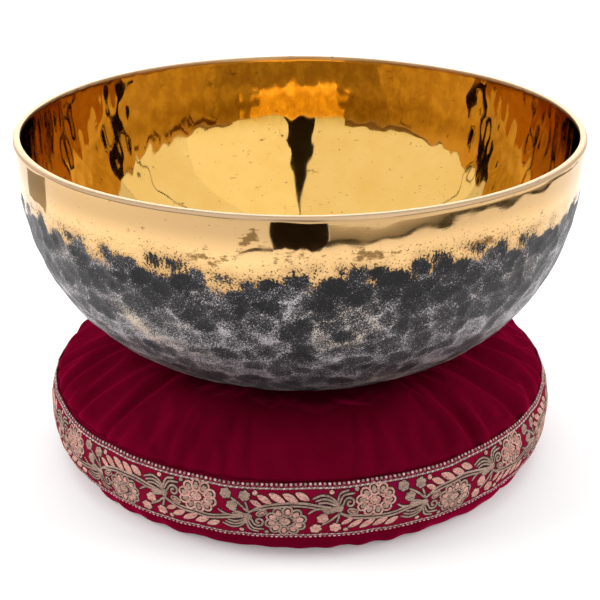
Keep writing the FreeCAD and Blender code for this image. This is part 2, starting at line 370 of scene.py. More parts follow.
def bronze_material():
    """Bell bronze: bright on the lip, the band and the inside, and dark with worn ridges below the band."""
    s = Shading("bell_bronze")
    patina, hollow, tone = s.attribute("patina"), s.attribute("hollow"), s.attribute("tone")
    down, lip, inside = s.attribute("down"), s.attribute("lip"), s.attribute("inside")
    band_reflection, low_wall = s.attribute("band_reflection"), s.attribute("low_wall")

    fine = s.noise(1.1, 4, 0.65)
    upright = s.noise(1.2, 2, 0.5, at=s.stretched(1, 1, 0.16))
    edge = s.total((patina, 1.0), (fine, 16.0), (upright, 14.0))
    covered = s.ramp(edge, 14.1, 16.3)

    stain = s.noise(26.0, 3)
    gold = s.mix(s.ramp(stain, 0.35, 0.7), GOLD, DEEP_GOLD)
    mottle = s.ramp(s.noise(7.0, 4, 0.6, at=s.stretched(1, 1, 0.7)), 0.42, 0.62)
    # Painted reflection: the upper inside wall turns a mottled amber, less so towards the left and right.
    gold = s.mix(s.attribute("amber_reflection"), gold, s.mix(mottle, DARK_REFLECTED_AMBER, REFLECTED_AMBER))
    # Painted reflection: the band lightens towards its lower part.
    band = s.mix(band_reflection, BAND_GOLD, BAND_REFLECTION_GOLD)
    gold = s.mix(inside, band, gold)
    gold = s.mix(lip, gold, PALE_LIP)
    brushed = s.noise(1.1, 3, 0.7, at=s.stretched(0.22, 0.22, 1.0))
    blotch = s.noise(7.0, 3, 0.6)
    stained = s.ramp(s.total((s.attribute("stain"), 1.0), (brushed, 2.0), (blotch, 3.0)), 3.05, 3.45)
    gold = s.mix(s.maths("MULTIPLY", stained, 0.85), gold, STAIN_BROWN)
    pits = s.ramp(s.noise(1.6, 2, 0.4), 0.74, 0.765)
    gold = s.mix(s.maths("MULTIPLY", pits, 0.85), gold, PITTED)
    halo = s.ramp(s.total((patina, 1.0), (fine, 14.0)), -6.0, 7.0, 0.0, 0.55)
    gold = s.mix(halo, gold, STAIN_BROWN)
    pepper = s.ramp(s.total((s.noise(1.1, 2, 0.5), 1.0), (patina, 0.012)), 0.525, 0.565)
    gold = s.mix(s.maths("MULTIPLY", pepper, 0.9), gold, PITTED)

    streaks = s.noise(1.5, 4, 0.7, at=s.stretched(0.42, 0.42, 1.5))
    grain = s.noise(0.8, 4, 0.75)
    speckle = s.between(low_wall, grain, streaks)
    cloud = s.noise(15.0, 4, 0.65)
    reach = s.ramp(down, 0.17, 0.34)
    wear = s.total(
        (speckle, 1.45),
        (reach, 0.11),
        (hollow, -0.08),
        (s.attribute("ridge"), 0.09),
        (cloud, 0.42),
        (tone, 0.22),
        (s.attribute("scuff"), 0.27),
        (low_wall, -0.10),
    )
    level = s.maths("ADD", wear, -0.5145)
    middling = s.ramp(level, 0.50, 0.62)
    bright = s.ramp(level, 0.67, 0.76)
    base = s.mix(low_wall, DARK_PATINA, PURPLE_PATINA)
    dark = s.mix(middling, base, s.mix(low_wall, MID_PATINA, PURPLE_PATINA))
    warm = s.maths("MAXIMUM", s.ramp(s.noise(52.0, 2), 0.56, 0.72), s.attribute("scuff"))
    worn = s.mix(warm, LIGHT_WEAR, WARM_WEAR)
    patinated = s.mix(bright, dark, worn)
    pocks = s.maths("MULTIPLY", s.ramp(s.noise(1.0, 1), 0.60, 0.66), s.ramp(level, 0.56, 0.68))
    patinated = s.mix(s.maths("MULTIPLY", pocks, 0.8), patinated, DARK_PATINA)
    sparks = s.maths("MULTIPLY", s.ramp(s.noise(0.7, 1), 0.64, 0.70), s.ramp(level, 0.50, 0.64))
    patinated = s.mix(s.maths("MULTIPLY", sparks, 0.8), patinated, BARE_SPECK)

    s.set(Base_Color=s.mix(covered, gold, patinated))
    patina_metal = s.ramp(bright, 0, 1, 0.35, 0.95)
    s.set(Metallic=s.between(covered, 1.0, patina_metal))

    smear = s.ramp(s.noise(9.0, 4), 0.35, 0.75, 0.035, 0.075)
    band_smear = s.ramp(s.noise(7.0, 4), 0.35, 0.75, 0.03, 0.08)
    bare = s.between(lip, s.between(inside, band_smear, smear), 0.42)
    dull = s.ramp(grain, 0.3, 0.7, 0.32, 0.50)
    s.set(Specular_IOR_Level=0.15)
    s.set(Roughness=s.between(covered, bare, dull))

    skin = s.maths("MULTIPLY", s.total((grain, 1.0), (fine, 0.6)), covered)
    polish = s.noise(0.9, 2, 0.5, at=s.stretched(0.2, 0.2, 1.0))
    coarse = s.bump(skin, 0.34)
    s.set(Normal=s.bump(polish, 0.0022, under=coarse))
    return s.material


def velvet_material():
    s = Shading("velvet")
    nap = s.noise(34.0, 2)
    pile = s.noise(0.55, 3, 0.7)
    shade = s.total((nap, 0.6), (pile, 0.4))
    s.set(Base_Color=s.mix(s.ramp(shade, 0.3, 0.7), (0.105, 0.001, 0.010, 1), (0.165, 0.001, 0.017, 1)))
    s.set(Roughness=0.95, Specular_IOR_Level=0.0)
    s.set(Sheen_Weight=0.75, Sheen_Roughness=0.28, Sheen_Tint=(0.9, 0.012, 0.12, 1))
    s.set(Normal=s.bump(pile, 0.22))
    return s.material


def ribbon_material():
    s = Shading("ribbon_ground")
    weft = s.noise(0.5, 3, 0.7, at=s.stretched(1, 1, 0.35))
    stripe = s.noise(30.0, 2, at=s.stretched(1, 1, 0.3))
    crimson = s.mix(s.ramp(weft, 0.35, 0.7), (0.13, 0.001, 0.012, 1), (0.30, 0.001, 0.030, 1))
    s.set(Base_Color=s.mix(s.ramp(stripe, 0.55, 0.75), crimson, (0.20, 0.001, 0.050, 1)))
    s.set(Roughness=0.85, Specular_IOR_Level=0.04)
    s.set(Normal=s.bump(weft, 0.15))
    return s.material


def figure_material(name, dull, lit):
    """Raised weft threads: coloured on top, and near black at a shape's edge, where they dive into the
    ground: a dark outline with a painted shadow.
    """
    s = Shading(name)
    top = s.ramp(s.attribute("thread"), 0.62, 0.92)
    weft = s.noise(0.42, 3, 0.75, at=s.stretched(1, 1, 0.5))
    bands = s.noise(2.2, 2, at=s.stretched(0.25, 0.25, 1))
    # Painted highlights: noise along the weave mixes each thread's darker tone with its lit copy.
    share = s.ramp(s.total((weft, 0.65), (bands, 0.35)), 0.36, 0.62)
    gaps = s.ramp(s.noise(0.8, 2, 0.6, at=s.stretched(0.8, 0.8, 1.4)), 0.34, 0.46)
    top = s.maths("MULTIPLY", top, s.maths("ADD", s.maths("MULTIPLY", gaps, 0.75), 0.25))
    # The near-black colour round each shape is an outline with a painted shadow.
    s.set(Base_Color=s.mix(top, (0.012, 0.002, 0.004, 1), s.mix(share, dull, lit)))
    s.set(Roughness=0.7, Specular_IOR_Level=0.12)
    s.set(Normal=s.bump(weft, 0.14))
    return s.material


def thread_material():
    s = Shading("sewing_thread")
    twist = s.noise(0.3, 2, at=s.stretched(1, 1, 0.4))
    s.set(Base_Color=s.mix(s.ramp(twist, 0.35, 0.65), (0.22, 0.004, 0.03, 1), (0.4, 0.02, 0.07, 1)))
    s.set(Roughness=0.6, Normal=s.bump(twist, 0.05))
    return s.material


def stuffing_material():
    s = Shading("kapok")
    fibre = s.noise(2.5, 5, 0.75)
    s.set(Base_Color=s.mix(fibre, (0.62, 0.55, 0.43, 1), (0.9, 0.86, 0.77, 1)))
    s.set(Roughness=0.95, Sheen_Weight=0.4, Normal=s.bump(fibre, 1.5))
    return s.material


# ---- bowl


def superellipse(full_radius, height, exponent, rows, hidden_rows=0, hidden_share=0.72):
    """(radius, z) points from the rim to the axis, evenly spaced, with sparser rows past hidden_share of the
    way. Also how far along the wall each one is."""
    angle = np.linspace(0, math.pi / 2, 6000)
    radius = full_radius * np.abs(np.cos(angle)) ** (2 / exponent)
    z = RIM_Z - height * np.sin(angle) ** (2 / exponent)
    run = distances(np.stack([radius, z], axis=1))
    if hidden_rows:
        shown = np.linspace(0, run[-1] * hidden_share, rows, endpoint=False)
        at = np.concatenate([shown, np.linspace(run[-1] * hidden_share, run[-1], hidden_rows)])
    else:
        at = np.linspace(0, run[-1], rows)
    return np.stack([np.interp(at, run, radius), np.interp(at, run, z)], axis=1), at


def hammer_marks(profile, run, first, last, pitch, depth, rng):
    """Hammer marks in rough courses down a wall: azimuth, distance down, local radius, size, depth, tone."""
    marks = []
    at = first
    while at < last:
        radius = np.interp(at, run, profile[:, 0])
        count = max(5, round(TURN * radius / pitch))
        turn = rng.uniform(0, TURN)
        for i in range(count):
            azimuth = turn + (i + rng.uniform(-0.36, 0.36)) * TURN / count
            down = at + rng.uniform(-0.42, 0.42) * pitch
            size = pitch * rng.uniform(0.52, 0.80)
            marks.append((azimuth, down, radius, size, depth * rng.uniform(0.55, 1.25), rng.uniform(0, 1)))
        at += pitch * 0.84
    return np.array(marks)


def hammered(azimuth, down, marks, stretch):
    """The height of a wall under hammer marks, and three numbers from 0 to 1: how deep in a mark a point is,
    the mark's tone, and how near the point is to the ridge between two marks."""
    shape = azimuth.shape
    azimuth, down = azimuth.ravel(), down.ravel()
    height, hollow, tone, ridge = (np.zeros(azimuth.size) for _ in range(4))
    for start in range(0, azimuth.size, 4000):
        part = slice(start, start + 4000)
        around = nearest(azimuth[part, None] - marks[:, 0])
        distance = np.hypot(around * marks[:, 2], (down[part, None] - marks[:, 1]) / stretch) / marks[:, 3]
        dip = marks[:, 4] * (distance**2 - 1)
        which = dip.argmin(axis=1)
        lowest, second = np.partition(dip, 1, axis=1)[:, :2].T
        found = np.minimum(lowest, 0)
        height[part] = found
        hollow[part] = -found / marks[which, 4]
        tone[part] = marks[which, 5]
        ridge[part] = np.exp(-(((np.minimum(second, 0) - found) / (0.22 * marks[which, 4])) ** 2))
    return tuple(values.reshape(shape) for values in (height, hollow, tone, ridge))


def bowl_piece():
    rng = np.random.default_rng(7)
    azimuth = np.arange(BOWL_COLUMNS) * TURN / BOWL_COLUMNS
    unevenness = waves(azimuth, 0, rng, 6, 7) * 0.28

    outer, outer_run = superellipse(BOWL_RADIUS, BOWL_HEIGHT, WALL_EXPONENT, OUTER_ROWS, OUTER_HIDDEN_ROWS)
    inside_radius, inside_height = BOWL_RADIUS - LIP_WIDTH, BOWL_HEIGHT - BASE_THICKNESS
    inner, inner_run = superellipse(inside_radius, inside_height, INNER_EXPONENT, INNER_ROWS)
    keep = outer_run > BEVEL_DROP
    outer, outer_run = outer[keep], outer_run[keep]
    keep = inner_run > 0.5
    inner, inner_run = inner[keep], inner_run[keep]

    a, down = np.meshgrid(azimuth, outer_run[:-1])
    marks = hammer_marks(outer, outer_run, 12, outer_run[-1] - 20, OUTER_MARK_PITCH, OUTER_MARK_DEPTH, rng)
    warp = waves(a, down, rng, 8, 40, 0.3) * 1.2
    height, hollow, tone, ridge = hammered(a + warp / BOWL_RADIUS, down + warp, marks, OUTER_MARK_STRETCH)
    front_dip = 9.5 * np.exp(-((nearest(a - FRONT_DIP) / DIP_WIDTH) ** 2))
    edge = BAND_DROP + front_dip + waves(a, 0, rng, 5, 9) * 1.1
    rough = smooth_step(down, edge - 14, edge + 5)
    swell = waves(a, down, rng, 14, 30, 0.25) * 0.045 + waves(a, down, rng, 12, 70, 0.4) * 0.014
    push = height * (0.03 + 0.97 * rough) + swell
    patina = (down - edge) + 12.0 * (hollow - 0.50) * smooth_step(down, edge - 12, edge)
    radius, z = moved_out(outer[:-1], outward(outer)[:-1], push)
    outer_share = down / outer_run[-1]
    around = nearest(a - SCUFF_AZIMUTH) * BOWL_RADIUS
    slanted = down - SCUFF_DOWN - 0.65 * around
    scuff = np.exp(-((around / 18) ** 2) - (slanted / 10) ** 2)
    stain = np.zeros(a.shape)
    for azimuth_there, down_there, wide, tall in STAINS:
        beside = nearest(a - math.radians(azimuth_there)) * BOWL_RADIUS
        stain += np.exp(-((beside / wide) ** 2) - ((down - down_there) / tall) ** 2)

    b, in_down = np.meshgrid(azimuth, inner_run[:-1])
    marks = hammer_marks(inner, inner_run, 4, inner_run[-1] - 15, INNER_MARK_PITCH, INNER_MARK_DEPTH, rng)
    in_height = hammered(b, in_down, marks, INNER_MARK_STRETCH)[0]
    fluted = sum(np.exp(-((nearest(b - math.radians(side)) / FLUTES_WIDTH) ** 2)) for side in FLUTED_SIDES)
    wall_share = 1 - smooth_step(in_down, 55, 105)
    strength = (0.16 + 0.84 * wall_share) * (1 + (FLUTE_DEPTH - 1) * fluted * wall_share)
    haunch = smooth_step(in_down, 38, 52) * (1 - smooth_step(in_down, 70, 95))
    soft = waves(b, in_down, rng, 14, 22, 0.12) * 0.03 * (0.55 + 0.45 * wall_share)
    crinkle = waves(b, in_down, rng, 24, 100, 0.6) * (0.004 + 0.007 * wall_share + 0.016 * haunch)
    in_push = in_height * strength + soft + crinkle
    in_radius, in_z = moved_out(inner[:-1], outward(inner)[:-1], in_push)

    # Painted reflection: how much amber is painted on the inside's upper wall, less at the left and right.
    beside = smooth_step(np.abs(np.sin(b)), 0.5, 0.95)
    amber_reflection = smooth_step(in_z, RIM_Z - 56, RIM_Z - 40) * (1 - 0.45 * beside)

    lip = np.array(LIP)[:, :, None] + np.zeros(BOWL_COLUMNS)
    lip_radius, lip_z = BOWL_RADIUS - lip[:, 0], RIM_Z - lip[:, 1]

    rows_radius = np.concatenate([radius[::-1], lip_radius, in_radius])
    rows_z = np.concatenate([z[::-1], lip_z, in_z])
    near_rim = smooth_step(rows_z, RIM_Z - 60, RIM_Z)
    rows_z = rows_z + (unevenness - unevenness.max()) * near_rim * 0.5
    poles = [[0, 0, outer[-1, 1]], [0, 0, inner[-1, 1]]]
    points = np.concatenate([turned(rows_radius, rows_z, azimuth).reshape(-1, 3), poles])

    def layer(outside=0.0, on_lip=0.0, within=0.0, base=0.0, bottom=0.0):
        """One number for each point: outside, on the lip, within, and at the two poles."""
        wall = np.broadcast_to(outside, radius.shape)[::-1]
        rest = np.broadcast_to(on_lip, lip_radius.shape), np.broadcast_to(within, in_radius.shape)
        return np.concatenate([wall.ravel(), *(part.ravel() for part in rest), [base, bottom]])

    attributes = {
        "patina": layer(patina, -60.0, -60.0, 100.0, -60.0),
        "hollow": layer(hollow, base=0.5),
        "tone": layer(tone, base=0.5),
        "ridge": layer(ridge * rough),
        "scuff": layer(scuff),
        "stain": layer(stain),
        "down": layer(outer_share, base=1.0),
        "lip": layer(on_lip=1.0),
        "inside": layer(within=1.0, bottom=1.0),
        # painted reflection on the inside's upper wall
        "amber_reflection": layer(within=amber_reflection),
        # painted reflection, lighter towards the band's lower part
        "band_reflection": layer(smooth_step(down, 8, 26), base=1.0),
        "low_wall": layer(smooth_step(outer_share, 0.52, 0.64), base=1.0),
    }
    faces = turned_faces(len(rows_radius), BOWL_COLUMNS)
    piece = make_piece("bowl_hammered", points, faces, bronze_material(), attributes)
    return settle(piece, "bowl", "bell_bronze", "bowl")


# ---- cushion


def bowl_underside(radius):
    share = 1 - (np.asarray(radius, float) / BOWL_RADIUS) ** WALL_EXPONENT
    return RIM_Z - BOWL_HEIGHT * share ** (1 / WALL_EXPONENT)


def top_profile(count):
    """The cushion's upper face, from the axis out to the top seam, as (radius, z)."""
    seat = [(r, float(bowl_underside(r)) - SEAT_GAP) for r in np.linspace(0, SEAT_RADIUS, 5)]
    return even_points(smooth_curve([*seat, *CROWN, TOP_SEAM], (1, 0), (0.45, -0.9), 900), count)


def side_profile(count):
    """The side band's outer face, from the top seam down to the base seam, as (radius, z)."""
    top = (TOP_SEAM[0], TOP_SEAM[1] - 0.2)
    tuck = (BASE_SEAM[0] + 6.4, BASE_SEAM[1] + 8.5)
    return even_points(smooth_curve([top, BELLY, tuck, BASE_SEAM], (0.55, -0.85), (-0.8, -0.6), 900), count)


def gathers(azimuth, from_seam, rng):
    """The rise and fall of a cover gathered into its seam: creases that run in from the seam and fade."""
    total = np.zeros(azimuth.shape)
    places = [(math.radians(d), 2.8, rng.uniform(44, 70)) for d in STRONG_GATHERS]
    at = 0.0
    while at < TURN:
        places.append((at, rng.uniform(0.3, 1.4), rng.uniform(10, 34)))
        at += rng.uniform(0.035, 0.105)
    for middle, depth, length in places:
        lean = rng.uniform(-0.0016, 0.0016)
        width = rng.uniform(2.2, 4.4)
        away = nearest(azimuth - middle - lean * from_seam) * TOP_SEAM[0]
        spread = width * (1 + from_seam / length)
        fade = np.exp(-((from_seam / length) ** 2))
        crease = -np.exp(-((away / spread) ** 2))
        shoulders = 0.55 * np.exp(-(((np.abs(away) - 2.1 * spread) / (1.5 * spread)) ** 2))
        total += depth * fade * (crease + shoulders)
    return total * (0.55 + 0.45 * smooth_step(from_seam, 0, 6))


def settled(profile, azimuth, push, free):
    """How far a cover moves out from this shape when its cloth settles, by simulation. It is cut a little
    large, filled from below, and held wherever free is 0. Its grid has every second column."""
    way = outward(profile)
    azimuth, push, free = azimuth[:, ::2], push[:, ::2], free[:, ::2]
    start = turned(*moved_out(profile, way, push), azimuth)
    trial = make_piece("cloth_trial", start.reshape(-1, 3), [grid_faces(*push.shape)], stuffing_material())
    held = trial.vertex_groups.new(name="held")
    held.add(np.flatnonzero(free.ravel() < 0.02).tolist(), 1.0, "REPLACE")
    cloth = trial.modifiers.new("cloth", "CLOTH")
    cloth.settings.vertex_group_mass = "held"
    cloth.settings.use_pressure = True
    cloth.settings.uniform_pressure_force = CLOTH_PRESSURE
    cloth.settings.shrink_min = -CLOTH_SPARE
    cloth.settings.bending_stiffness = 0.1
    cloth.settings.effector_weights.gravity = 0
    cloth.point_cache.frame_end = CLOTH_STEPS
    scene = bpy.context.scene
    for step in range(1, CLOTH_STEPS + 1):
        scene.frame_set(step)
    result = trial.evaluated_get(bpy.context.evaluated_depsgraph_get()).data
    moved = np.empty(start.size, np.float32)
    result.vertices.foreach_get("co", moved)
    scene.frame_set(1)
    bpy.data.objects.remove(trial)
    x, y = on_circle(way[:, 0, None], azimuth)
    out = np.stack([x, y, way[:, 1, None] + 0 * x], axis=-1)
    shift = ((moved.reshape(start.shape) / MM - start) * out).sum(axis=-1)
    shift = np.clip(shift, -CLOTH_CAP, CLOTH_CAP) * free
    between = (shift + np.roll(shift, -1, axis=1)) / 2
    return np.stack([shift, between], axis=-1).reshape(len(shift), -1)


def cloth_shell(profile, lift):
    """Points of a closed shell of cloth turned about the axis, raised by lift(azimuth, distance from its
    end): its outer face, row by row, and then its inner face back again."""
    azimuth = np.arange(TOP_COLUMNS) * TURN / TOP_COLUMNS
    run = distances(profile)
    a, from_end = np.meshgrid(azimuth, run[-1] - run)
    push = lift(a, from_end)
    way = outward(profile)
    outer, inner = (turned(*moved_out(profile, way, push - depth), azimuth) for depth in (0.0, CLOTH))
    return np.concatenate([outer, inner[::-1]]).reshape(-1, 3)


def top_cover_piece(material):
    rng = np.random.default_rng(21)
    profile = top_profile(TOP_ROWS)

    def lift(azimuth, from_seam):
        soft = waves(azimuth, from_seam, rng, 10, 9, 0.05) * 0.5
        near_bowl = smooth_step(from_seam, 62, 88)
        push = (gathers(azimuth, from_seam, rng) + soft * smooth_step(from_seam, 0, 12)) * (1 - near_bowl)
        free = smooth_step(from_seam, 0.5, 7) * (1 - near_bowl)
        return push + settled(profile, azimuth, push, free)

    poles = [[0, 0, profile[0, 1]], [0, 0, profile[0, 1] - CLOTH]]
    points = np.concatenate([cloth_shell(profile, lift), poles])
    piece = make_piece("cushion_top", points, turned_faces(2 * TOP_ROWS, TOP_COLUMNS), material)
    return settle(piece, "cushion", "velvet", "top_cover")


def side_band_piece(material):
    rng = np.random.default_rng(5)
    profile = side_profile(SIDE_ROWS)

    def lift(azimuth, from_base):
        tuck = 1 - smooth_step(from_base, 4, 22)
        return waves(azimuth, from_base, rng, 16, 60, 0.05) * 0.45 * tuck

    points = cloth_shell(profile, lift)
    last = len(points) - TOP_COLUMNS
    j = np.arange(TOP_COLUMNS)
    k = (j + 1) % TOP_COLUMNS
    ends = np.stack([last + j, last + k, k, j], axis=1)
    piece = make_piece("cushion_side", points, [grid_faces(2 * SIDE_ROWS, TOP_COLUMNS), ends], material)
    return settle(piece, "cushion", "velvet", "side_band")


def filling_piece():
    """Loose fibre that fills the covers, a little lumpy, well clear of the gathers."""
    rng = np.random.default_rng(3)
    top, side = top_profile(60), side_profile(24)
    floor = np.array([(BASE_SEAM[0] - 8, 3.0), (0.0, 3.0)])
    top = top + outward(top) * -FILL_DEPTH
    top[0, 0] = 0.0
    side = side[2:-3] + outward(side)[2:-3] * -FILL_DEPTH
    profile = np.concatenate([top[:-3], side, floor])
    azimuth = np.arange(FILL_COLUMNS) * TURN / FILL_COLUMNS
    rows = len(profile) - 2
    a, step = np.meshgrid(azimuth, np.arange(1, rows + 1) * 5.0)
    lumps = waves(a, step, rng, 30, 40, 0.5) * 0.45
    edge = np.minimum(1, np.arange(1, rows + 1) / 6)[:, None]
    points = turned(*moved_out(profile[1:-1], outward(profile)[1:-1], lumps * edge), azimuth).reshape(-1, 3)
    poles = [[0, 0, profile[0, 1]], [0, 0, profile[-1, 1]]]
    faces = turned_faces(rows, FILL_COLUMNS, flip=True)
    piece = make_piece("kapok_filling", np.concatenate([points, poles]), faces, stuffing_material())
    return settle(piece, "cushion", "stuffing", "filling")


# ---- ribbon

SIDE = side_profile(400)


def ribbon_points(u, v, w):
    """Points on the ribbon: u along it from its hidden end at the back, v up it, w out from its back face."""
    u, v, w = np.broadcast_arrays(np.asarray(u, float), np.asarray(v, float), np.asarray(w, float))
    azimuth = BACK + u / RIBBON_RADIUS
    wave = 0.30 * np.sin(azimuth * 9 + 0.7) + 0.22 * np.sin(azimuth * 17 + 2.1) + 0.12 * np.sin(azimuth * 31)
    z = RIBBON_LOW + v + wave * 0.9 + LEAN * np.sin(azimuth)
    radius = np.interp(z, SIDE[::-1, 1], SIDE[::-1, 0])
    slope = np.gradient(SIDE[:, 0], SIDE[:, 1])
    tilt = np.interp(z, SIDE[::-1, 1], slope[::-1])
    lapped = smooth_step(u, TURN * RIBBON_RADIUS - 9, TURN * RIBBON_RADIUS - 1) * (RIBBON_THICKNESS + 0.15)
    ripple = 0.14 * np.sin(azimuth * 41 + v * 0.12) + 0.10 * np.sin(azimuth * 67 - v * 0.2)
    out = w + lapped + 0.3 + ripple
    lean = 1 / np.sqrt(1 + tilt**2)
    x, y = on_circle(radius + out * lean, azimuth)
    return np.stack([x, y, z - out * tilt * lean], axis=-1)


RIBBON_LENGTH = TURN * RIBBON_RADIUS + LAP * RIBBON_RADIUS


def ribbon_piece():
    columns, rows = 760, 17
    u = np.linspace(0, RIBBON_LENGTH, columns)
    v = np.linspace(0, RIBBON_WIDTH, rows)
    front = ribbon_points(u[None, :], v[:, None], RIBBON_THICKNESS)
    back = ribbon_points(u[None, :], v[::-1, None], 0.0)
    points = np.concatenate([front, back]).reshape(-1, 3)
    total = 2 * rows
    faces = grid_faces(total, columns, closed=False)
    j = np.arange(columns - 1)
    last = (total - 1) * columns
    bottom = np.stack([last + j, last + j + 1, j + 1, j], axis=1)
    i = np.arange(rows - 1)
    starts = np.stack([i, i + 1, total - 2 - i, total - 1 - i], axis=1) * columns
    stops = starts[:, ::-1] + columns - 1
    piece = make_piece("ribbon_cloth", points, [faces, bottom, starts, stops], ribbon_material())
    return settle(piece, "cushion", "brocade", "brocade_ribbon")


def stitch_row_piece(name, v, material):
    """A row of running stitches that hold the ribbon down: short threads that dip into it at their ends."""
    pitch, length, sides, steps = 3.6, 2.6, 6, 7
    starts = np.arange(2.0, TURN * RIBBON_RADIUS - 2.0, pitch)[:, None, None]
    share = np.linspace(0, 1, steps)[None, :, None]
    turn = (np.arange(sides) * TURN / sides)[None, None, :]
    arch = np.sin(share * math.pi)
    thick = THREAD_RADIUS * (0.55 + 0.45 * arch)
    u = starts + share * length + 0 * turn
    rise = thick * np.sin(turn) + 0 * starts
    out = RIBBON_THICKNESS - 0.15 + 0.3 * arch + thick * np.cos(turn) + 0 * starts
    points = ribbon_points(u, v + rise, out).reshape(-1, 3)
    one = grid_faces(steps, sides)
    cap = np.arange(sides)[None, :]
    count = steps * sides
    firsts = (np.arange(len(starts)) * count)[:, None, None]
    faces = [(one[None] + firsts).reshape(-1, 4)]
    for end in (cap, cap[:, ::-1] + count - sides):
        faces.append((end[None] + firsts).reshape(-1, sides))
    piece = make_piece(name, points, faces, material)
    return settle(piece, "cushion", "thread", name.replace("stitched_", ""))


class Figure:
    """Low raised shapes on the ribbon, gathered into one mesh. A shape's points are (u, v, w, thread)."""

    def __init__(self):
        self.shapes = []

    def add(self, rings, *faces):
        """A shape from rings of (u, v) points, each with its height and whether thread covers it."""
        layers = [np.column_stack([at, np.full((len(at), 2), (up, lit))]) for at, up, lit in rings]
        self.shapes.append((np.concatenate(layers), faces))

    def piece(self, name, material):
        """The shapes as one piece, without those that would pass the ribbon's two ends."""
        low, high = END_MARGIN, RIBBON_LENGTH - END_MARGIN
        kept = [shape for shape in self.shapes if low < shape[0][:, 0].min() and shape[0][:, 0].max() < high]
        firsts = np.cumsum([0] + [len(points) for points, _ in kept])
        by_size = {3: [], 4: []}
        for first, (_, faces) in zip(firsts, kept):
            for some in faces:
                by_size[some.shape[1]].append(some + first)
        u, v, w, thread = np.concatenate([points for points, _ in kept]).T
        faces = [np.concatenate(some) for some in by_size.values() if some]
        points = ribbon_points(u, v, RIBBON_THICKNESS + w)
        return settle(make_piece(name, points, faces, material, {"thread": thread}), "cushion", "brocade")


def stroke(figure, line, width, height=0.34, taper=0.5, skirt=OUTLINE_SHADOW_WIDTH):
    """A thread-covered line with a dark skirt along both sides, an outline with a painted shadow."""
    line = np.asarray(line, float)
    along = np.gradient(line, axis=0)
    along /= np.maximum(np.linalg.norm(along, axis=1)[:, None], 1e-9)
    side = np.stack([-along[:, 1], along[:, 0]], axis=1)
    share = np.linspace(0, 1, len(line))
    half = width / 2 * np.minimum(1, np.minimum(share, 1 - share) / 0.12 * (1 - taper) + taper)
    half = half[:, None]
    rings = (
        (line - side * (half + skirt), -0.02 * height, 0.0),
        (line - side * half, 0.45 * height, 1.0),
        (line, height, 1.0),
        (line + side * half, 0.45 * height, 1.0),
        (line + side * (half + skirt), -0.02 * height, 0.0),
    )
    figure.add(rings, grid_faces(len(rings), len(line), closed=False, flip=True))


def blob(figure, outline, height=0.4, skirt=OUTLINE_SHADOW_WIDTH):
    """A filled shape with a domed top and a dark skirt, an outline with a painted shadow."""
    outline = np.asarray(outline, float)
    if signed_area(outline) < 0:
        outline = outline[::-1]
    count = len(outline)
    middle = outline.mean(axis=0)
    away = outline - middle
    way = away / np.linalg.norm(away, axis=1)[:, None]
    rings = (
        (outline + way * skirt, -0.02 * height, 0.0),
        (outline, 0.5 * height, 1.0),
        (middle + away * 0.6, height, 1.0),
        (middle[None, :], 1.05 * height, 1.0),
    )
    figure.add(rings, grid_faces(3, count), fan_faces(3 * count, 2 * count, count))


def signed_area(outline):
    x, y = outline[:, 0], outline[:, 1]
    return 0.5 * np.sum(x * np.roll(y, -1) - y * np.roll(x, -1))


def curl(points, count=14):
    """A smooth line through a few points."""
    points = np.array(points, float)
    return smooth_curve(points, points[1] - points[0], points[-1] - points[-2], count)


def oval(centre, length, width, angle, count=10, point=1.0):
    """An outline round a centre; a point above 1 makes its two ends sharp."""
    t = np.arange(count) * TURN / count
    x = np.cos(t) * length / 2
    y = np.sin(t) * np.abs(np.sin(t)) ** (point - 1) * width / 2
    c, s = math.cos(math.radians(angle)), math.sin(math.radians(angle))
    return np.stack([centre[0] + x * c - y * s, centre[1] + x * s + y * c], axis=1)


def spiral(centre, start_angle, turns, outer, inner=0.5, count=20):
    t = np.linspace(0, 1, count)
    radius = outer + (inner - outer) * t
    angle = math.radians(start_angle) + t * turns * TURN
    return np.stack([centre[0] + radius * np.cos(angle), centre[1] + radius * np.sin(angle)], axis=1)


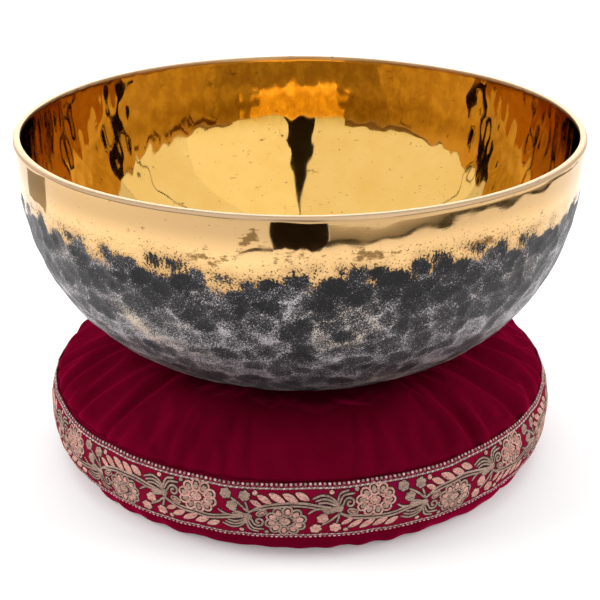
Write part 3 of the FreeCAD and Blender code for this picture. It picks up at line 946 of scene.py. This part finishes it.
def half_repeat(grey, pink, place, low):
    """One flower with its stretch of vine, leaves, plume, curl and rosettes, in millimetres from below the
    flower's middle. A low flower is under the vine, and a high one is its mirror image in other colours."""

    def put(shape):
        shape = np.array(shape, float)
        if not low:
            shape[:, 1] = RIBBON_WIDTH - shape[:, 1]
        shape[:, 0] += place
        return shape

    def vein(width, count, *points):
        stroke(grey, put(curl(points, count)), width)

    petal_edge, petal_fill, rosettes = (grey, pink, grey) if low else (pink, grey, pink)
    middle = np.array([0.0, 11.6])
    for i in range(PETALS):
        angle = TURN / PETALS * (i + 0.3)
        way = np.array([math.cos(angle), math.sin(angle) * 0.76])
        turn = math.degrees(math.atan2(way[1], way[0]))
        ring = oval(middle + way * 8.3, 6.5, 5.3, turn, 14)
        stroke(petal_edge, put(np.concatenate([ring, ring[:1]])), 0.8, taper=1.0)
        blob(petal_fill, put(oval(middle + way * 8.1, 4.0, 2.8, turn, 8)), skirt=0.3)
        blob(petal_edge, put(oval(middle + way * 4.3, 1.2, 0.8, turn, 6)), skirt=0.2)
    blob(petal_edge, put(oval(middle - (0.6, 0), 6.2, 4.6, 0, 12)), height=0.3)
    for i in range(6):
        angle = TURN / 6 * i
        spot = middle + (math.cos(angle) * 1.9 - 0.6, math.sin(angle) * 1.3)
        blob(petal_fill, put(oval(spot, 1.4, 1.2, 0, 6)), height=0.55, skirt=0.25)

    hub = np.array([-21.9, 14.2])
    end = (HALF_REPEAT + hub[0], RIBBON_WIDTH - hub[1])
    bends = ((-16.3, 19.7), (-9.8, 21.8), (-1.4, 22.9), (7.5, 23.1), (15.4, 21.7))
    along = np.linspace(0, 1, 44)
    apart = smooth_step(along, 0.0, 0.2) * (1 - smooth_step(along, 0.75, 1))
    for drop, width in ((0.0, 0.9), (1.9, 0.65)):
        vine = curl([hub + (1, 2.6), *bends, end], 44)
        vine[:, 1] -= drop * apart
        stroke(grey, put(vine), width, taper=1.0)
    vein(0.8, 14, (12.6, 16.4), (16.8, 18.9), (22.0, 18.9), end)
    for u, v, length, width in LEAVES:
        leaf = oval((u, v), length, width, 153, 12, 1.55)
        blob(pink, put(leaf), height=0.45)
        rib = [(u + length * 0.40, v - length * 0.20), (u, v + 0.1), (u - length * 0.34, v + length * 0.18)]
        stroke(grey, put(curl(rib, 6)), 0.12, 0.5)

    blob(grey, put(oval(hub + (0.6, 0), 4.0, 4.6, 60, 10)), height=0.42)
    for k in range(3):
        tip, bend = (-33.0 - 1.6 * k, 11.0 - 1.3 * k), (-29.0 - 0.9 * k, 10.4 - 2.0 * k)
        vein(0.75, 14, tip, bend, (-24.8, 11.6 - 1.7 * k), hub + (0.3, -0.9 - 0.9 * k))
    for k in range(2):
        bend, tip = (-18.8 - 1.6 * k, 7.0 - 1.4 * k), (-12.4 - 3.0 * k, 6.1 - 1.9 * k)
        vein(0.75, 12, hub + (0.6 - k, -2.6 - 1.0 * k), bend, tip)
    stroke(grey, put(spiral((-15.2, 11.3), 175, 1.4, 3.5)), 0.9)
    vein(0.9, 6, hub + (1.0, 0.5), (-19.6, 12.6), (-18.6, 10.9))
    pod = oval((-13.6, 16.7), 6.2, 3.0, 22, 12, 1.2)
    stroke(grey, put(np.concatenate([pod, pod[:1]])), 0.6, taper=1.0)
    blob(pink, put(oval((-13.6, 16.7), 3.8, 1.2, 22, 8)), skirt=0.25)
    for k in range(3):
        vein(0.8, 8, hub + (0, 0.4 * k), (-26.5, 14.9 + 0.9 * k), (-30.5, 14.0 + 1.7 * k))

    for u, v in ((-34.4, 27.0), (-23.4, 26.6), (-30.6, 20.3)):
        rosette(rosettes, put, (u, v))
    vein(0.8, 10, hub + (0.5, 3.0), (-26.0, 21.6), (-31.2, 24.9))
    vein(0.7, 7, hub + (0.8, 3.4), (-21.8, 20.5), (-22.8, 23.4))
    blob(pink, put(oval((-17.4, 28.4), 2.6, 2.4, 0, 9)))
    blob(pink, put(oval((-25.3, 4.6), 2.6, 2.0, 0, 9)))
    blob(grey, put(oval((-10.9, 4.1), 2.2, 2.0, 0, 8)))


def rosette(figure, put, centre):
    for i in range(6):
        angle = TURN / 6 * i + 0.3
        spot = (centre[0] + 2.0 * math.cos(angle), centre[1] + 1.8 * math.sin(angle))
        blob(figure, put(oval(spot, 2.6, 2.4, 0, 8)), height=0.34)
    blob(figure, put(oval(centre, 1.9, 1.7, 0, 7)), height=0.55, skirt=0.3)


def border(pale, grey):
    """The woven edges: a row of picots and a twisted line above, a line and a row of dashes below."""
    for height, width in ((30.9, 0.75), (2.0, 0.7)):
        ends = np.arange(1.0, RIBBON_LENGTH - 2.0, ROPE_PITCH)
        for k, at in enumerate(ends):
            twist = [(at, height - width * 0.25), (at + ROPE_PITCH * 0.95, height + width * 0.25)]
            stroke(pale if k % 2 else grey, even_points(np.array(twist), 3), width, taper=0.7, skirt=0.4)
    for k, at in enumerate(np.arange(1.0, RIBBON_LENGTH - 2.0, PICOT_PITCH)):
        blob(grey if k % 2 else pale, oval((at, RIBBON_WIDTH - 0.6), 1.5, 1.2, 0, 8), height=0.6, skirt=0.4)
        blob(grey if k % 4 == 3 else pale, oval((at, 0.55), 1.55, 1.0, 0, 8), height=0.4, skirt=0.3)


def ribbon_figures():
    rosy, greyish, pale = Figure(), Figure(), Figure()
    first = (FIRST_LOW_FLOWER - BACK) % (TURN / REPEATS) * RIBBON_RADIUS
    for k in range(-2, 2 * REPEATS + 2):
        half_repeat(greyish, rosy, first + k * HALF_REPEAT, k % 2 == 0)
    border(pale, greyish)
    return [
        rosy.piece("ribbon_figure_pink", figure_material("figure_pink", PINK_DULL, PINK_LIT)),
        greyish.piece("ribbon_figure_grey", figure_material("figure_grey", GREY_DULL, GREY_LIT)),
        pale.piece("ribbon_border", figure_material("figure_pale", PALE_DULL, PALE_LIT)),
    ]


# ---- stage

HAZE_STEPS, HAZE_WIDTH = 6, 14  # strips of floor past the dark line, each paler than the last
TENT_RADIUS, NEARER = 1700.0, 1690.0


def floor_material():
    """Pale and matt, with a faint glow that keeps the floor white up to the cushion's shadow."""
    s = Shading("pale_floor")
    s.set(Base_Color=(0.93, 0.93, 0.93, 1), Roughness=0.9, Specular_IOR_Level=0.1)
    s.set(Emission_Color=(1, 1, 1, 1), Emission_Strength=0.17)
    return s.material


def glow(name, colour, strength):
    material = bpy.data.materials.new(name)
    material.use_nodes = True
    tree = material.node_tree
    tree.nodes.clear()
    light = tree.nodes.new("ShaderNodeEmission")
    light.inputs["Color"].default_value = (*colour, 1)
    light.inputs["Strength"].default_value = strength
    output = tree.nodes.new("ShaderNodeOutputMaterial")
    tree.links.new(light.outputs[0], output.inputs[0])
    return material


def card(name, points, rows, columns, material):
    """A card for the metal to reflect. Only glossy rays meet it: it isn't in view, and it casts no shadow."""
    faces = grid_faces(rows, columns, closed=False)
    made = make_piece(name, points.reshape(-1, 3), [faces], material)
    made.visible_camera = made.visible_diffuse = made.visible_shadow = made.visible_transmission = False


def tent_panel(name, sides, low, high, material, radius=TENT_RADIUS):
    """A piece of a round tent over the bowl. sides gives its two azimuths in degrees at an elevation."""
    steps = 40
    elevation = np.linspace(low, high, steps)
    left, right = np.array([sides(e) for e in elevation]).T
    azimuth = np.radians(left[:, None] + (right - left)[:, None] * np.linspace(0, 1, steps)[None, :])
    rise = np.radians(elevation)[:, None]
    card(name, turned(radius * np.cos(rise), 120 + radius * np.sin(rise), azimuth), steps, steps, material)


def floor_strip(name, inner, outer, azimuths, material):
    """A strip on the floor round the cushion; inner and outer give its two radii at an azimuth in degrees."""
    azimuth = np.linspace(*azimuths, 60)
    rings = np.array([[inner(a), outer(a)] for a in azimuth]).T
    card(name, turned(rings, 1.0, np.radians(azimuth)), 2, 60, material)


def area_light(name, place, target, size, power):
    """A softbox that lights the scene but isn't mirrored in the metal, which has the tent to reflect."""
    light = bpy.data.lights.new(name, "AREA")
    light.shape = "RECTANGLE"
    light.size, light.size_y = size
    light.energy = power
    made = bpy.data.objects.new(name, light)
    bpy.context.scene.collection.objects.link(made)
    made.location = place
    made.rotation_euler = (Vector(target) - Vector(place)).to_track_quat("-Z", "Y").to_euler()
    made.visible_camera = made.visible_glossy = False


def slot(elevation):
    """Half the width of the tent's front slot in degrees: it closes towards the top."""
    return 0.9 + 7.5 * (1 - smooth_step(elevation, 18, 80)) ** 0.9


def far_sides(elevation):
    """The two uneven sides of the bright panel at the back."""
    return 143 + 4 * math.sin(0.8 * elevation), 222 + 5 * math.sin(0.6 * elevation)


def slot_start(azimuth):
    """The radius where the slot's dark floor starts: uneven, and nearest in its middle."""
    return 558 + 0.17 * azimuth**2 + 8 * math.sin(0.9 * azimuth) + 4 * math.sin(2.3 * azimuth + 1)


def edge_start(azimuth):
    """The radius where the white floor sheet ends, on the right."""
    far = 120 * smooth_step(azimuth, 14, 74) + 60 * smooth_step(azimuth, 74, 130)
    return 574 + far + 4 * math.sin(0.31 * azimuth)


def edge_stop(azimuth):
    """The radius where the dark line past the sheet's edge stops."""
    near, far = 26 * (1 - smooth_step(azimuth, 10, 24)), 14 * smooth_step(azimuth, 15, 60)
    return edge_start(azimuth) + 12 + near + far


def make_stage():
    bpy.ops.mesh.primitive_plane_add(size=12, location=(0, 0, 0))
    floor = bpy.context.object
    floor.name = "floor"
    floor.data.materials.append(floor_material())

    world = bpy.data.worlds.new("studio")
    bpy.context.scene.world = world
    world.use_nodes = True
    world.node_tree.nodes["Background"].inputs["Color"].default_value = (1, 1, 1, 1)
    world.node_tree.nodes["Background"].inputs["Strength"].default_value = 0.55

    area_light("top_softbox", (0.0, 0.9, 2.6), (0, 0.3, 0), (3.4, 2.4), 40)
    area_light("left_softbox", (-1.9, -0.1, 1.3), (0, 0, 0.1), (1.2, 1.2), 26)
    area_light("right_softbox", (1.9, -0.1, 1.3), (0, 0, 0.1), (1.2, 1.2), 22)
    bpy.context.scene.view_settings.view_transform = "Standard"


def make_cards():
    """The tent and the floor strips that the metal reflects."""
    white = glow("tent_white", (1.0, 0.99, 0.97), 1.20)
    brighter = glow("tent_front_white", (1.0, 0.99, 0.97), 1.34)
    bright = glow("tent_back", (1.0, 0.98, 0.94), 3.2)
    side = glow("tent_side", (1.0, 0.98, 0.94), 0.95)
    dim = glow("tent_dim", (1.0, 0.98, 0.94), 0.75)
    black = glow("tent_slot", (0.020, 0.014, 0.008), 1.0)
    seam = glow("tent_seam", (0.10, 0.09, 0.07), 1.0)
    tent_panel("tent_left", lambda e: (-101, -slot(e)), 2, 85, white)
    tent_panel("tent_front_right", lambda e: (slot(e), 60), 2, 85, brighter)
    tent_panel("tent_right", lambda e: (60, 101), 2, 85, white)
    tent_panel("tent_side_right", lambda e: (101.2, 152), 2, 33, side)
    tent_panel("tent_side_left", lambda e: (208, 258.8), 2, 33, side)
    tent_panel("tent_far", far_sides, 6, 33, bright, NEARER)
    tent_panel("tent_roof", lambda e: (101, 259), 33.5, 86, dim)
    tent_panel("tent_front_slot", lambda e: (-slot(e), slot(e)), 2, 85, black)
    foot = glow("tent_foot", (0.26, 0.15, 0.06), 1.0)
    tent_panel("tent_foot_left", lambda e: (-101, -22), 2, 13.6, foot, NEARER)
    tent_panel("tent_foot_right", lambda e: (34, 101), 2, 11.8, foot, NEARER)
    tent_panel("tent_seam_left", lambda e: (-95.5, -94.8), 2, 60, seam, NEARER)
    tent_panel("tent_seam_right", lambda e: (85.8, 86.5), 2, 60, seam, NEARER)

    floor_strip("floor_slot", slot_start, lambda a: 950, (-9.6, 9.4), black)
    floor_strip("floor_edge_front", lambda a: 581 + 3 * a, lambda a: 601.4 + 3.4 * a, (-19, -9.6), seam)
    floor_strip("floor_edge_right", edge_start, edge_stop, (9, 128), seam)
    for k in range(HAZE_STEPS):
        level = 0.42 + 0.55 * k / HAZE_STEPS
        haze = glow(f"floor_haze_{k}", (level, 0.93 * level, 0.8 * level), 1.0)
        inner, outer = (lambda a, steps=k + j: edge_stop(a) + HAZE_WIDTH * steps for j in (0, 1))
        floor_strip(f"floor_haze_{k}", inner, outer, (9.6, 120), haze)
    shade = glow("tent_shade", (0.54, 0.47, 0.37), 1.0)
    floor_strip("floor_edge_left", lambda a: 560, lambda a: 800, (-121, -105), shade)


def make_camera():
    """The camera looks along +Y and down at a point over the cushion's middle."""
    pitch = math.radians(23.75)
    distance, aim_height = 0.8548, 0.0901
    data = bpy.data.cameras.new("camera")
    data.sensor_width = 36
    data.lens = 77.98
    camera = bpy.data.objects.new("camera", data)
    bpy.context.scene.collection.objects.link(camera)
    camera.location = (0, -distance * math.cos(pitch), aim_height + distance * math.sin(pitch))
    camera.rotation_euler = (math.pi / 2 - pitch, 0, 0)
    bpy.context.scene.camera = camera


make_camera()
make_stage()
make_cards()
velvet = velvet_material()
bowl_piece()
top_cover_piece(velvet)
side_band_piece(velvet)
filling_piece()
ribbon = ribbon_piece()
figures = ribbon_figures()
thread = thread_material()
stitches = [
    stitch_row_piece("stitched_ribbon_upper_thread", RIBBON_WIDTH - 1.5, thread),
    stitch_row_piece("stitched_ribbon_lower_thread", 1.3, thread),
]

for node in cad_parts.values():
    node.data.materials.clear()
    node.data.materials.append(velvet if node.name == "base_cover" else thread)
